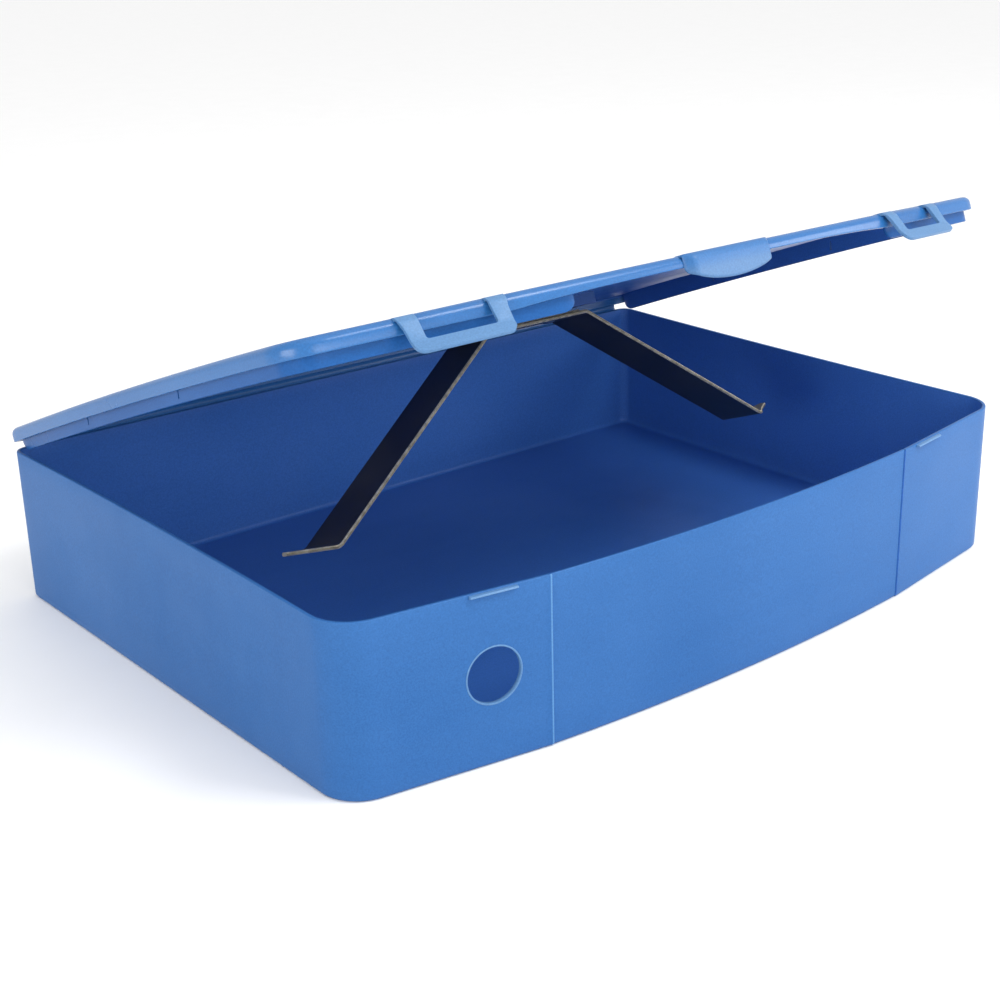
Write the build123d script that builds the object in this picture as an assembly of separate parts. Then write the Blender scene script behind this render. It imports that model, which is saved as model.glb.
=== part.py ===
from build123d import *
import math
import os

# Archival box file: a shallow polypropylene tray with a bowed spine, a lid on a
# living hinge along the back, two latch loops, a thumb tab and a sprung steel arch
# under the lid that holds the papers down.
# Frame: +X along the long side, +Y towards the hinge, +Z up; origin at the centre of
# the base footprint, on the surface the box stands on. Millimetres.

# ---- driving dimensions -------------------------------------------------------------
LENGTH = 360.0          # long side, outside
DEPTH = 264.0           # short side, outside, to the crown of the spine
TRAY_H = 67.5           # height of the tray walls
WALL = 1.6              # wall thickness
FLOOR = 1.2             # floor thickness
CORNER_BACK = 18.0      # how far the front corners stand behind the crown
SEAM_BACK = 4.7         # how far the spine seams stand behind the crown
SEAM_X = 97.8           # half distance between the spine seams
R_FRONT = 17.0          # front corner radius
R_BACK = 6.0            # back corner radius
SPINE_RECESS = 0.35     # spine panel lies this far behind its neighbours

OPEN_DEG = 20.0         # lid angle in the stored pose
LIP_LOW = 2.4           # lip lower edge above the hinge line (lid frame)
LIP_TOP = 8.4           # lid top above the hinge line
LIP_W = 2.1             # lip band thickness
PANEL_T = 1.6           # lid panel thickness
SKIRT_IN = 3.4          # skirt inset from the outer face
SKIRT_T = 1.2
SKIRT_LOW = -2.2        # skirt lower edge (lid frame)
HINGE_GAP = 0.3         # lid stands this far in front of the hinge line

HOLE_D = 22.0           # finger hole
HOLE_S = 59.3           # along the left front panel from the corner
HOLE_Z = 35.0

CATCH_S = 59.6          # left catch centre along the front panel from the corner
CATCH_S_RIGHT = 64.5
CATCH_W = 19.0
CATCH_TOP = -0.4        # below the rim
CATCH_LOW = -1.9
CATCH_OUT = 1.9

LATCH_W = 38.0          # latch loop width
LATCH_T = 1.3
LATCH_DROP = 14.8       # from its flexure to its lower edge
LATCH_FLARE = 32.0      # degrees off the front face in the stored pose
LATCH_Z = 7.6           # flexure height (lid frame)

TAB_W = 45.0
TAB_LOW = -3.0
TAB_T = 1.4

# spring arch (lid frame: x along the lid, r forward from the hinge, z up)
ARCH_X = -8.0            # arch centre off the lid centre
ARCH_R = 145.0
ARCH_YAW = -5.0        # degrees, the right foot nearer the hinge
STRIP_W = 24.0
STRIP_T = 0.9
BAR_HALF = 28.5
BAR_Z = -0.75           # mid-thickness of the bar
FOOT_HALF = 126.0
FOOT_Z = -65.3          # mid-thickness at the foot bend
TIP_OUT = 17.0
TIP_UP = 2.3
FLEX_GAP = 0.45         # leg and bar stop this far short of the flexure line

# ---- derived --------------------------------------------------------------------------
HX = LENGTH / 2
YB = DEPTH / 2
YC = -DEPTH / 2 + CORNER_BACK
YS = -DEPTH / 2 + SEAM_BACK
YA = -DEPTH / 2


def footprint(inset=0.0):
    """Plan outline: straight back and ends, canted front panels, bowed spine."""
    with BuildSketch() as sk:
        with BuildLine():
            Polyline((-SEAM_X, YS), (-HX, YC), (-HX, YB), (HX, YB), (HX, YC), (SEAM_X, YS))
            ThreePointArc((SEAM_X, YS), (0, YA), (-SEAM_X, YS))
        make_face()
        fillet([v for v in sk.vertices() if abs(v.Y - YC) < 0.01], R_FRONT)
        fillet([v for v in sk.vertices() if abs(v.Y - YB) < 0.01 and abs(abs(v.X) - HX) < 0.01], R_BACK)
        if inset:
            offset(amount=-inset, kind=Kind.INTERSECTION)
    return sk.sketch


def prism(sketch, z0, z1):
    return extrude(Pos(0, 0, z0) * sketch, amount=z1 - z0)


def block(x0, x1, y0, y1, z0, z1):
    return Pos((x0 + x1) / 2, (y0 + y1) / 2, (z0 + z1) / 2) * Box(x1 - x0, y1 - y0, z1 - z0)


OUTER = footprint()
INNER = footprint(WALL)

# front panel directions (unit, along the panel away from the corner)
cant = math.degrees(math.atan2(YC - YS, HX - SEAM_X))       # panel angle off X
cu = (math.cos(math.radians(cant)), -math.sin(math.radians(cant)))   # left panel, corner -> seam


def left_panel(s, out, z):
    """Point on the left front panel: s along it from the corner, out from its face."""
    return (-HX + cu[0] * s + cu[1] * out, YC + cu[1] * s - cu[0] * out, z)


def on_left(part_local, s, z=0.0):
    """Place a part made at the origin (x along the panel, -y outward)."""
    p = left_panel(s, 0, z)
    return Pos(*p) * Rot(0, 0, -cant) * part_local


def on_right(part_local, s, z=0.0):
    p = left_panel(s, 0, z)
    return Pos(-p[0], p[1], p[2]) * Rot(0, 0, cant) * part_local


# ---- tray ---------------------------------------------------------------------------
ring = prism(OUTER, 0, TRAY_H) - prism(INNER, -1, TRAY_H + 1)
floor_panel = prism(INNER, 0, FLOOR)

back_wall = ring & block(-HX + R_BACK, HX - R_BACK, YB - 4, YB + 1, -1, TRAY_H + 1)
spine_zone = block(-SEAM_X, SEAM_X, YA - 2, YC + 2, -1, TRAY_H + 1)
spine_skin = prism(footprint(SPINE_RECESS), -1, TRAY_H + 1)
spine_panel = (ring & spine_zone) & spine_skin
left_zone = block(-HX - 1, -SEAM_X, YA - 2, YB + 1, -1, TRAY_H + 1)
not_back = block(-HX + R_BACK, HX - R_BACK, YB - 4, YB + 1, -2, TRAY_H + 2)
left_wrap = (ring & left_zone) - not_back
right_wrap = mirror(left_wrap, about=Plane.YZ)
hole = on_left(Rot(90, 0, 0) * Cylinder(HOLE_D / 2, 20), HOLE_S, HOLE_Z)
left_wrap = left_wrap - hole

# a catch: a wedge proud of the front panel just under the rim
catch_profile = Polyline((-CATCH_OUT, CATCH_TOP), (-CATCH_OUT * 0.75, CATCH_LOW), (0, CATCH_LOW - 0.3),
                         (0, CATCH_TOP), (-CATCH_OUT, CATCH_TOP))
catch_face = Plane.YZ * make_face(catch_profile)
catch_body = Pos(-CATCH_W / 2, 0, 0) * extrude(catch_face, amount=CATCH_W, dir=(1, 0, 0))
left_catch = on_left(catch_body, CATCH_S, TRAY_H)
right_catch = on_right(catch_body, CATCH_S_RIGHT, TRAY_H)

# ---- lid, made shut, then swung to the stored pose ------------------------------------
LID_CUT = block(-HX - 5, HX + 5, YA - 5, YB - HINGE_GAP, TRAY_H - 10, TRAY_H + 20)


def lid_prism(inset, z0, z1):
    return prism(footprint(inset), TRAY_H + z0, TRAY_H + z1)


lid_lip = (lid_prism(0, LIP_LOW, LIP_TOP) - lid_prism(LIP_W, LIP_LOW - 1, LIP_TOP + 1)) & LID_CUT
lid_panel = lid_prism(LIP_W, LIP_TOP - PANEL_T, LIP_TOP)
PANEL_LOW = LIP_TOP - PANEL_T

skirt_ring = lid_prism(SKIRT_IN, SKIRT_LOW, PANEL_LOW) - lid_prism(SKIRT_IN + SKIRT_T, SKIRT_LOW - 1, PANEL_LOW + 1)
z0, z1 = TRAY_H + SKIRT_LOW - 1, TRAY_H + PANEL_LOW + 1
FRONT_LEFT = -68.0       # the left skirt runs along the side, round the corner, and ends here
FRONT_RIGHT = 100.0      # the right one ends here, short of the right latch loop
skirt_left = skirt_ring & block(-HX, FRONT_LEFT, YA, YB - 6, z0, z1)
skirt_right = skirt_ring & block(FRONT_RIGHT, HX, YA, YB - 6, z0, z1)

# thumb tab: a rounded ear that drops in front of the lip
tab_top = LIP_TOP - 0.3
with BuildSketch(Plane.XZ) as tk:
    with BuildLine():
        Polyline((-TAB_W / 2, 3.0), (-TAB_W / 2, tab_top), (TAB_W / 2, tab_top), (TAB_W / 2, 3.0))
        ThreePointArc((TAB_W / 2, 3.0), (0, TAB_LOW), (-TAB_W / 2, 3.0))
    make_face()
tab_plate = extrude(tk.sketch, amount=TAB_T / 2, both=True)
thumb_tab = Pos(0, YA - 0.55 - TAB_T / 2, TRAY_H) * tab_plate
bridge = block(-TAB_W / 2 + 1.0, TAB_W / 2 - 1.0, YA - 0.6, YA + 0.35, TRAY_H + 3.2, TRAY_H + tab_top)
thumb_tab = (thumb_tab + (bridge - prism(OUTER, TRAY_H - 5, TRAY_H + 20)))

# hinge web: the thin flexing strip between the back wall and the lid's lip
hinge_web = block(-HX + R_BACK + 2, HX - R_BACK - 2, YB - HINGE_GAP - 0.6, YB - HINGE_GAP, TRAY_H + 0.35, TRAY_H + LIP_LOW)

# spring seat, arch bar, stiffener, plate and rivets
arch_at = Pos(ARCH_X, YB - ARCH_R, TRAY_H) * Rot(0, 0, -ARCH_YAW)
SEAT_LOW = 1.9
bar_low, bar_top = BAR_Z - STRIP_T / 2, BAR_Z + STRIP_T / 2
STIFF_T = 1.0
PLATE_T = SEAT_LOW - (bar_top + STIFF_T)
rivets_x = (-16.0, 16.0)


def strip(x0, x1, w, za, zb_):
    return block(x0, x1, -w / 2, w / 2, za, zb_)


def drill(p, r):
    for x in rivets_x:
        p = p - Pos(x, 0, 0) * Cylinder(r, 40)
    return p


seat = strip(-32, 32, 30, SEAT_LOW, PANEL_LOW)
seat = seat - strip(-27, 27, 20, PANEL_LOW - 2.6, PANEL_LOW + 1)          # lightening pocket above
spring_seat = drill(seat, 1.65)
bar = strip(-BAR_HALF + FLEX_GAP, BAR_HALF - FLEX_GAP, STRIP_W, bar_low, bar_top)
spring_bar = drill(bar, 1.65)
spring_stiffener = drill(strip(-25, 25, STRIP_W - 2, bar_top, bar_top + STIFF_T), 1.65)
spring_plate = drill(strip(-22, 22, 14, bar_top + STIFF_T, SEAT_LOW), 1.65)
rivet = (Pos(0, 0, (bar_low + PANEL_LOW - 2.6) / 2) * Cylinder(1.6, PANEL_LOW - 2.6 - bar_low)
         + Pos(0, 0, bar_low - 0.5) * Cylinder(3.2, 1.0)
         + Pos(0, 0, PANEL_LOW - 2.6 + 0.4) * Cylinder(2.8, 0.8))
spring_rivets = Compound(children=[Pos(x, 0, 0) * rivet for x in rivets_x])

# legs: a straight strip down to the foot bend, then a short tip turned up
leg_dx = FOOT_HALF - BAR_HALF
leg_dz = FOOT_Z - BAR_Z
leg_len = math.hypot(leg_dx, leg_dz)
lu = (leg_dx / leg_len, leg_dz / leg_len)
start = (BAR_HALF + lu[0] * FLEX_GAP, BAR_Z + lu[1] * FLEX_GAP)
with BuildPart() as lp:
    with BuildSketch(Plane.XZ):
        with BuildLine() as path:
            FilletPolyline(start, (FOOT_HALF, FOOT_Z), (FOOT_HALF + TIP_OUT, FOOT_Z + TIP_UP), radius=4.0)
        trace(path.line, STRIP_T)
    extrude(amount=STRIP_W / 2, both=True)
right_leg_local = lp.part
# each foot narrows to a blunt toe
with BuildSketch(Plane.XY) as toe:
    with BuildLine():
        Polyline((0, -STRIP_W / 2 - 1), (FOOT_HALF - 1, -STRIP_W / 2 - 1), (FOOT_HALF + 1, -STRIP_W / 2),
                 (FOOT_HALF + 9, -7.5), (FOOT_HALF + TIP_OUT + 1, -1.6), (FOOT_HALF + TIP_OUT + 1, 1.6),
                 (FOOT_HALF + 9, 7.5), (FOOT_HALF + 1, STRIP_W / 2), (FOOT_HALF - 1, STRIP_W / 2 + 1), (0, STRIP_W / 2 + 1),
                 (0, -STRIP_W / 2 - 1))
    make_face()
right_leg_local = right_leg_local & (Pos(0, 0, FOOT_Z - 10) * extrude(toe.sketch, amount=90))
left_leg_local = mirror(right_leg_local, about=Plane.YZ)

# latch loops: a frame with a window, hinged at the top of the front lip
LOOP_OUT = 0.6           # stands off the face
WIN_W = 27.0
win_top = 1.3            # below the flexure
win_low = 9.9
with BuildSketch(Plane.XZ) as ls:
    with BuildLine():
        Polyline((-LATCH_W / 2 - 1.5, -0.35), (LATCH_W / 2 + 1.5, -0.35), (LATCH_W / 2 + 1.5, -2.0), (LATCH_W / 2 + 0.4, -4.5),
                 (LATCH_W / 2, -LATCH_DROP), (-LATCH_W / 2, -LATCH_DROP), (-LATCH_W / 2 - 0.4, -4.5),
                 (-LATCH_W / 2 - 1.5, -2.0), (-LATCH_W / 2 - 1.5, -0.35))
    make_face()
    fillet([v for v in ls.vertices() if abs(v.Z + LATCH_DROP) < 0.01], 3.0)
    with Locations((0, -(win_top + win_low) / 2)):
        RectangleRounded(WIN_W, win_low - win_top, 1.2, mode=Mode.SUBTRACT)
loop_plate = extrude(ls.sketch, amount=LATCH_T / 2, both=True)
# flexure line on the face of the lip; the plate's middle stands off it
loop_flat = Pos(0, -(LOOP_OUT + LATCH_T / 2), LATCH_Z) * loop_plate
LATCH_S = 59.2
LATCH_S_RIGHT = 64.5


def flared(local, deg):
    """Swing a plate hung from the flexure line (y=-LOOP_OUT, z=LATCH_Z) outward."""
    y0, zf = -(LOOP_OUT + LATCH_T / 2), LATCH_Z
    return Pos(0, y0, zf) * Rot(-deg, 0, 0) * Pos(0, -y0, -zf) * local


loop_rest = flared(loop_flat, LATCH_FLARE)
left_latch_shut = on_left(loop_rest, LATCH_S, TRAY_H)
right_latch_shut = on_right(loop_rest, LATCH_S_RIGHT, TRAY_H)

# ---- swing the lid assembly to the stored pose -----------------------------------------
swing = Pos(0, YB, TRAY_H) * Rot(-OPEN_DEG, 0, 0) * Pos(0, -YB, -TRAY_H)

nodes = {
    "floor_panel": floor_panel,
    "back_wall": back_wall,
    "left_wrap_wall": left_wrap,
    "right_wrap_wall": right_wrap,
    "spine_panel": spine_panel,
    "left_catch": left_catch,
    "right_catch": right_catch,
    "hinge_web": swing * hinge_web,
    "lid_panel": swing * lid_panel,
    "lid_lip": swing * lid_lip,
    "lid_skirt_left": swing * skirt_left,
    "lid_skirt_right": swing * skirt_right,
    "thumb_tab": swing * thumb_tab,
    "left_latch_loop": swing * left_latch_shut,
    "right_latch_loop": swing * right_latch_shut,
    "spring_seat": swing * arch_at * spring_seat,
    "spring_mount_plate": swing * arch_at * spring_plate,
    "spring_stiffener": swing * arch_at * spring_stiffener,
    "spring_bar": swing * arch_at * spring_bar,
    "spring_rivets": swing * arch_at * spring_rivets,
    "spring_left_leg": swing * arch_at * left_leg_local,
    "spring_right_leg": swing * arch_at * right_leg_local,
}


# ---- joint data for the record (printed, metres) ---------------------------------------
def where(loc, p):
    v = (loc * Pos(*p)).position
    return [round(v.X / 1000, 6), round(v.Y / 1000, 6), round(v.Z / 1000, 6)]


def direction(loc, d):
    a = (loc * Pos(0, 0, 0)).position
    b = (loc * Pos(*d)).position
    v = (b - a).normalized()
    return [round(v.X, 6), round(v.Y, 6), round(v.Z, 6)]


print("lid_hinge pos", [0, YB / 1000, TRAY_H / 1000], "axis [-1,0,0]")
pl = left_panel(LATCH_S, LOOP_OUT + LATCH_T / 2, TRAY_H + LATCH_Z)
print("left_latch pos", where(swing, pl), "axis", direction(swing, (-cu[0], -cu[1], 0)))
pr = left_panel(LATCH_S_RIGHT, LOOP_OUT + LATCH_T / 2, TRAY_H + LATCH_Z)
pr = (-pr[0], pr[1], pr[2])
print("right_latch pos", where(swing, pr), "axis", direction(swing, (-cu[0], cu[1], 0)))
print("right_leg pos", where(swing * arch_at, (BAR_HALF, 0, BAR_Z)), "axis", direction(swing * arch_at, (0, -1, 0)))
print("left_leg pos", where(swing * arch_at, (-BAR_HALF, 0, BAR_Z)), "axis", direction(swing * arch_at, (0, 1, 0)))
print("cant", round(cant, 3), "leg length", round(leg_len, 2))

os.makedirs("parts", exist_ok=True)
for name, part in nodes.items():
    export_step(part, f"parts/{name}.step")
print(len(nodes), "nodes")
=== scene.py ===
import math
import bpy
import bmesh
from mathutils import Matrix, Vector


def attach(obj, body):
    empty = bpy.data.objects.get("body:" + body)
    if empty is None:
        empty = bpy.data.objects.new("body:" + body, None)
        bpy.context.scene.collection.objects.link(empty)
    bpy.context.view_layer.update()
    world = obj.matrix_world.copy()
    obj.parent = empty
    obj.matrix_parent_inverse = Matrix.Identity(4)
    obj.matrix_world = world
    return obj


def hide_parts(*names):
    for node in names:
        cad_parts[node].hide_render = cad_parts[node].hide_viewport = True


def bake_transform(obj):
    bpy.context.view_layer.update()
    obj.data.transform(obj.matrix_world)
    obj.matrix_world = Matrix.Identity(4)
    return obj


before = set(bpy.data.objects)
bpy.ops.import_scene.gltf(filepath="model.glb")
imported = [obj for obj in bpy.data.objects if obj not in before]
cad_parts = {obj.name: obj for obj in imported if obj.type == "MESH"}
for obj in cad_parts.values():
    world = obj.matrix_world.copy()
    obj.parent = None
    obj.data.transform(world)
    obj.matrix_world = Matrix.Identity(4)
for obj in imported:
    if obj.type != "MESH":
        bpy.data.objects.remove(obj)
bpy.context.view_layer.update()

MM = 0.001

# ---- sizes of the box file, millimetres (the same as the CAD model) --------------------
LENGTH, DEPTH, TRAY_H = 360.0, 264.0, 67.5
WALL, FLOOR = 1.6, 1.2
HX, YB = LENGTH / 2, DEPTH / 2
YC, YS, YA = -DEPTH / 2 + 18.0, -DEPTH / 2 + 4.7, -DEPTH / 2
SEAM_X = 97.8
R_FRONT, R_BACK = 17.0, 6.0
OPEN = math.radians(20.0)
LIP_LOW, LIP_TOP, LIP_W, PANEL_T = 2.4, 8.4, 2.1, 1.6
PANEL_LOW = LIP_TOP - PANEL_T
SKIRT_IN, SKIRT_T, SKIRT_LOW = 3.4, 1.2, -2.2
HINGE_GAP = 0.3
CANT = math.atan2(YC - YS, HX - SEAM_X)
CU = (math.cos(CANT), -math.sin(CANT))
HOLE_S, HOLE_Z, HOLE_D = 59.3, 35.0, 22.0
CATCH_S, CATCH_S_RIGHT, CATCH_W = 59.6, 64.5, 19.0
LATCH_S, LATCH_S_RIGHT, LATCH_W, LATCH_T = 59.2, 64.5, 38.0, 1.3
RIM_RISE = 1.6
TAB_W, TAB_LOW, TAB_T = 45.0, -3.0, 1.4
ARCH_X, ARCH_R, ARCH_YAW = -8.0, 145.0, math.radians(5.0)
STRIP_W, STRIP_T = 24.0, 1.5
BAR_HALF, BAR_Z, FOOT_HALF, FOOT_Z = 28.5, -0.75, 126.0, -65.3
TIP_OUT, TIP_UP = 17.0, 2.3

SWING = Matrix.Translation((0, YB, TRAY_H)) @ Matrix.Rotation(-OPEN, 4, "X") @ Matrix.Translation((0, -YB, -TRAY_H))
ARCH_AT = SWING @ Matrix.Translation((ARCH_X, YB - ARCH_R, TRAY_H)) @ Matrix.Rotation(ARCH_YAW, 4, "Z")
SCALE = Matrix.Scale(MM, 4)


# ---- small mesh helpers ------------------------------------------------------------------
def finish_mesh(name, bm, matrix=None, smooth=32.0, mat=None, recalc=True):
    """bmesh in millimetres -> object in metres."""
    if recalc:
        bmesh.ops.recalc_face_normals(bm, faces=bm.faces)
    me = bpy.data.meshes.new(name)
    bm.to_mesh(me)
    bm.free()
    me.transform(SCALE @ matrix if matrix is not None else SCALE)
    for p in me.polygons:
        p.use_smooth = True
    me.set_sharp_from_angle(angle=math.radians(smooth))
    ob = bpy.data.objects.new(name, me)
    bpy.context.scene.collection.objects.link(ob)
    for m in (mat if isinstance(mat, (list, tuple)) else [mat]):
        if m is not None:
            me.materials.append(m)
    return ob


def apply_modifiers(ob, smooth=None):
    dg = bpy.context.evaluated_depsgraph_get()
    me = bpy.data.meshes.new_from_object(ob.evaluated_get(dg))
    ob.modifiers.clear()
    old = ob.data
    ob.data = me
    bpy.data.meshes.remove(old)
    if smooth is not None:
        for p in me.polygons:
            p.use_smooth = True
        me.set_sharp_from_angle(angle=math.radians(smooth))
    return ob


def fillet(p0, p1, p2, r, n):
    a = Vector(p0) - Vector(p1); a.normalize()
    b = Vector(p2) - Vector(p1); b.normalize()
    ang = a.angle(b)
    tl = r / math.tan(ang / 2)
    s, e = Vector(p1) + a * tl, Vector(p1) + b * tl
    bis = (a + b).normalized()
    c = Vector(p1) + bis * (r / math.sin(ang / 2))
    a0, a1 = math.atan2(s.y - c.y, s.x - c.x), math.atan2(e.y - c.y, e.x - c.x)
    d = (a1 - a0 + math.pi) % (2 * math.pi) - math.pi
    return [Vector((c.x + r * math.cos(a0 + d * i / (n - 1)), c.y + r * math.sin(a0 + d * i / (n - 1)))) for i in range(n)]


def straight(p, q, step):
    n = max(2, int(round((q - p).length / step)))
    return [p.lerp(q, i / n) for i in range(1, n)]


def outline(step=4.0):
    """Closed plan outline, counter-clockwise from the back-left corner: (point, outward normal)."""
    A, B, C, D = Vector((-HX, YB)), Vector((-HX, YC)), Vector((HX, YC)), Vector((HX, YB))
    L1, L2 = Vector((-SEAM_X, YS)), Vector((SEAM_X, YS))
    pts = []
    fa = fillet(D, A, B, R_BACK, 9)
    fb = fillet(A, B, L1, R_FRONT, 17)
    fc = fillet(L2, C, D, R_FRONT, 17)
    fd = fillet(C, D, A, R_BACK, 9)
    pts += fa + straight(fa[-1], fb[0], step) + fb
    pts += straight(fb[-1], L1, step)
    dl = (L1 - fb[-1]).normalized()
    pts += [L1 - dl * 1.1, L1 - dl * 0.75, L1 - dl * 0.2]
    h, c = YS - YA, SEAM_X
    r = (c * c + h * h) / (2 * h)
    cy = YA + r
    t0 = math.asin(c / r)
    # fine points beside each seam; those beside the right seam carry its groove
    xs = [-SEAM_X, -SEAM_X + 0.12, -SEAM_X + 0.28, -SEAM_X + 0.75, -SEAM_X + 0.95, -SEAM_X + 1.3]
    n = 48
    xs += [(-SEAM_X + 2.5) + (2 * SEAM_X - 5.0) * i / n for i in range(n + 1)]
    xs += [SEAM_X - 1.3, SEAM_X - 0.95, SEAM_X - 0.75, SEAM_X - 0.28, SEAM_X - 0.12, SEAM_X]
    for x in xs:
        t = math.asin(x / r)
        pts.append(Vector((x, cy - r * math.cos(t))))
    dr = (fc[0] - L2).normalized()
    pts += [L2 + dr * 0.2, L2 + dr * 0.75, L2 + dr * 1.1]
    pts += straight(L2, fc[0], step)[0:] + fc
    pts += straight(fc[-1], fd[0], step) + fd
    pts += straight(fd[-1], fa[0], step)
    n = len(pts)
    out = []
    for i, p in enumerate(pts):
        d = (pts[(i + 1) % n] - pts[i - 1]).normalized()
        out.append((p, Vector((d.y, -d.x))))
    return out


def seam_depth(p):
    """How far the outer face lies behind the outline: the recessed spine, the groove at its right seam and a bead proud
    of the left wrap wall's edge.
    """
    if p.y > YC + 1:
        return 0.0
    d = SEAM_X - abs(p.x)
    if d <= 0.01:
        # a fine bead runs down the edge of the left wrap wall
        return -0.16 if p.x < 0 and -0.85 < d < -0.1 else 0.0
    if p.x < 0:
        return 0.34
    if d < 0.2:
        return 0.62
    if d < 0.85:
        return 0.62
    if d < 1.2:
        return 0.36
    return 0.34


def ring_mesh(bm, ol, profile, shape=None, closed=False):
    """Sweep a profile (inset, z) round the outline. Returns the rings of verts."""
    rings = []
    for k, (e, z) in enumerate(profile):
        ring = []
        for p, nrm in ol:
            q = p - nrm * e
            v = Vector((q.x, q.y, z))
            if shape:
                v = shape(v, p, nrm, k)
            ring.append(bm.verts.new(v))
        rings.append(ring)
    n = len(ol)
    m = len(profile)
    for k in range(m if closed else m - 1):
        r0, r1 = rings[k], rings[(k + 1) % m]
        for i in range(n):
            bm.faces.new((r0[i], r0[(i + 1) % n], r1[(i + 1) % n], r1[i]))
    return rings


def cap(bm, ring, name="cap"):
    f = bm.faces.new(ring)
    return f


def left_panel(s, out, z):
    return Vector((-HX + CU[0] * s + CU[1] * out, YC + CU[1] * s - CU[0] * out, z))


def on_left(s, z=0.0):
    p = left_panel(s, 0, z)
    return Matrix.Translation(p) @ Matrix.Rotation(-CANT, 4, "Z")


def on_right(s, z=0.0):
    p = left_panel(s, 0, z)
    return Matrix.Translation((-p.x, p.y, p.z)) @ Matrix.Rotation(CANT, 4, "Z")


def plate_from_outline(outer, holes, t, bevel, segments=2):
    """A plate in the XZ plane, centred on y=0, from an outer loop and hole loops; edges bevelled."""
    bm = bmesh.new()
    edges = []
    for loop in [outer] + holes:
        vs = [bm.verts.new((x, -t / 2, z)) for x, z in loop]
        for i in range(len(vs)):
            edges.append(bm.edges.new((vs[i], vs[(i + 1) % len(vs)])))
    bmesh.ops.triangle_fill(bm, use_beauty=True, use_dissolve=False, edges=edges)
    bmesh.ops.dissolve_limit(bm, angle_limit=0.01, verts=bm.verts, edges=bm.edges, delimit={"NORMAL"}) if not holes else None
    ext = bmesh.ops.extrude_face_region(bm, geom=list(bm.faces))
    vs = [g for g in ext["geom"] if isinstance(g, bmesh.types.BMVert)]
    bmesh.ops.translate(bm, verts=vs, vec=(0, t, 0))
    bmesh.ops.recalc_face_normals(bm, faces=bm.faces)
    sharp = [e for e in bm.edges if len(e.link_faces) == 2 and e.calc_face_angle(0) > math.radians(60)]
    bmesh.ops.bevel(bm, geom=sharp, offset=bevel, segments=segments, profile=0.6, affect="EDGES", clamp_overlap=True)
    return bm


# ---- materials ------------------------------------------------------------------------------
def nodes_of(mat):
    mat.use_nodes = True
    nt = mat.node_tree
    return nt, nt.nodes["Principled BSDF"]


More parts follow.
